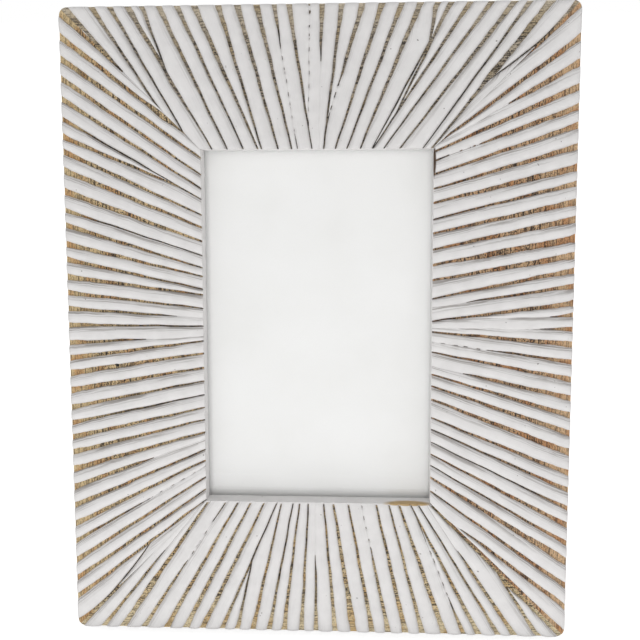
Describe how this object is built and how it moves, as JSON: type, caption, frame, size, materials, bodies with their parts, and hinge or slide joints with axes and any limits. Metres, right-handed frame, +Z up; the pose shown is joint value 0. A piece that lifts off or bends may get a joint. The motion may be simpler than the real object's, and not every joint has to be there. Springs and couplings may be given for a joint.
{
  "type": "wooden picture frame",
  "caption": "Whitewashed wooden picture frame with radiating carved ribs round a portrait sight opening, with glass, backing board, turn buttons and a hinged easel strut.",
  "frame": {"origin": "centre of the standing frame's bounding box, on the table: the frame's lower back edge and the strut's foot both stand on z = 0", "axes": "+Z up, +X to the right seen from the front, +Y backwards; the carved front faces -Y and leans back 15 degrees"},
  "size_m": [0.203, 0.1075, 0.2494],
  "materials": {
    "whitewashed_wood": "carved wood, limed grey-white on the ribs and bare and stained in the grooves",
    "picture_glass": "clear float glass",
    "white_card": "smooth white insert card",
    "grey_board": "plain grey board",
    "hardboard": "brown hardboard, smooth face",
    "zinc_plated_steel": "bright zinc plate",
    "brassed_steel": "thin brass plate on stamped steel"
  },
  "bodies": {
    "frame": {"top_rail": "whitewashed_wood", "bottom_rail": "whitewashed_wood", "left_stile": "whitewashed_wood", "right_stile": "whitewashed_wood", "corner_v_nails": "zinc_plated_steel", "glass_pane": "picture_glass", "insert_card": "white_card", "filler_card": "grey_board", "backing_board": "hardboard", "board_hinge_leaf": "zinc_plated_steel", "hinge_pin": "zinc_plated_steel", "board_rivets": "zinc_plated_steel", "turn_button_screws": "zinc_plated_steel", "sawtooth_hanger_top": "brassed_steel", "sawtooth_hanger_side": "brassed_steel", "hanger_nails": "zinc_plated_steel"},
    "strut": {"strut_board": "hardboard", "strut_hinge_leaf": "zinc_plated_steel", "strut_rivets": "zinc_plated_steel"},
    "button_1": {"turn_button_1": "zinc_plated_steel"},
    "button_2": {"turn_button_2": "zinc_plated_steel"},
    "button_3": {"turn_button_3": "zinc_plated_steel"},
    "button_4": {"turn_button_4": "zinc_plated_steel"},
    "button_5": {"turn_button_5": "zinc_plated_steel"},
    "button_6": {"turn_button_6": "zinc_plated_steel"}
  },
  "joints": [
    {"name": "strut_hinge", "type": "hinge", "parent": "frame", "child": "strut", "pos_m": [0, 0.00944, 0.16748], "axis": [1, 0, 0], "range_deg": [-28, 0]},
    {"name": "turn_button_1_spin", "type": "hinge", "parent": "frame", "child": "button_1", "pos_m": [0, 0.0176, 0.20411], "axis": [0, 0.9659, -0.2588], "continuous": true},
    {"name": "turn_button_2_spin", "type": "hinge", "parent": "frame", "child": "button_2", "pos_m": [-0.059, 0.00738, 0.16596], "axis": [0, 0.9659, -0.2588], "continuous": true},
    {"name": "turn_button_3_spin", "type": "hinge", "parent": "frame", "child": "button_3", "pos_m": [-0.059, -0.01591, 0.07902], "axis": [0, 0.9659, -0.2588], "continuous": true},
    {"name": "turn_button_4_spin", "type": "hinge", "parent": "frame", "child": "button_4", "pos_m": [0, -0.02614, 0.04087], "axis": [0, 0.9659, -0.2588], "continuous": true},
    {"name": "turn_button_5_spin", "type": "hinge", "parent": "frame", "child": "button_5", "pos_m": [0.059, -0.01591, 0.07902], "axis": [0, 0.9659, -0.2588], "continuous": true},
    {"name": "turn_button_6_spin", "type": "hinge", "parent": "frame", "child": "button_6", "pos_m": [0.059, 0.00738, 0.16596], "axis": [0, 0.9659, -0.2588], "continuous": true}
  ]
}
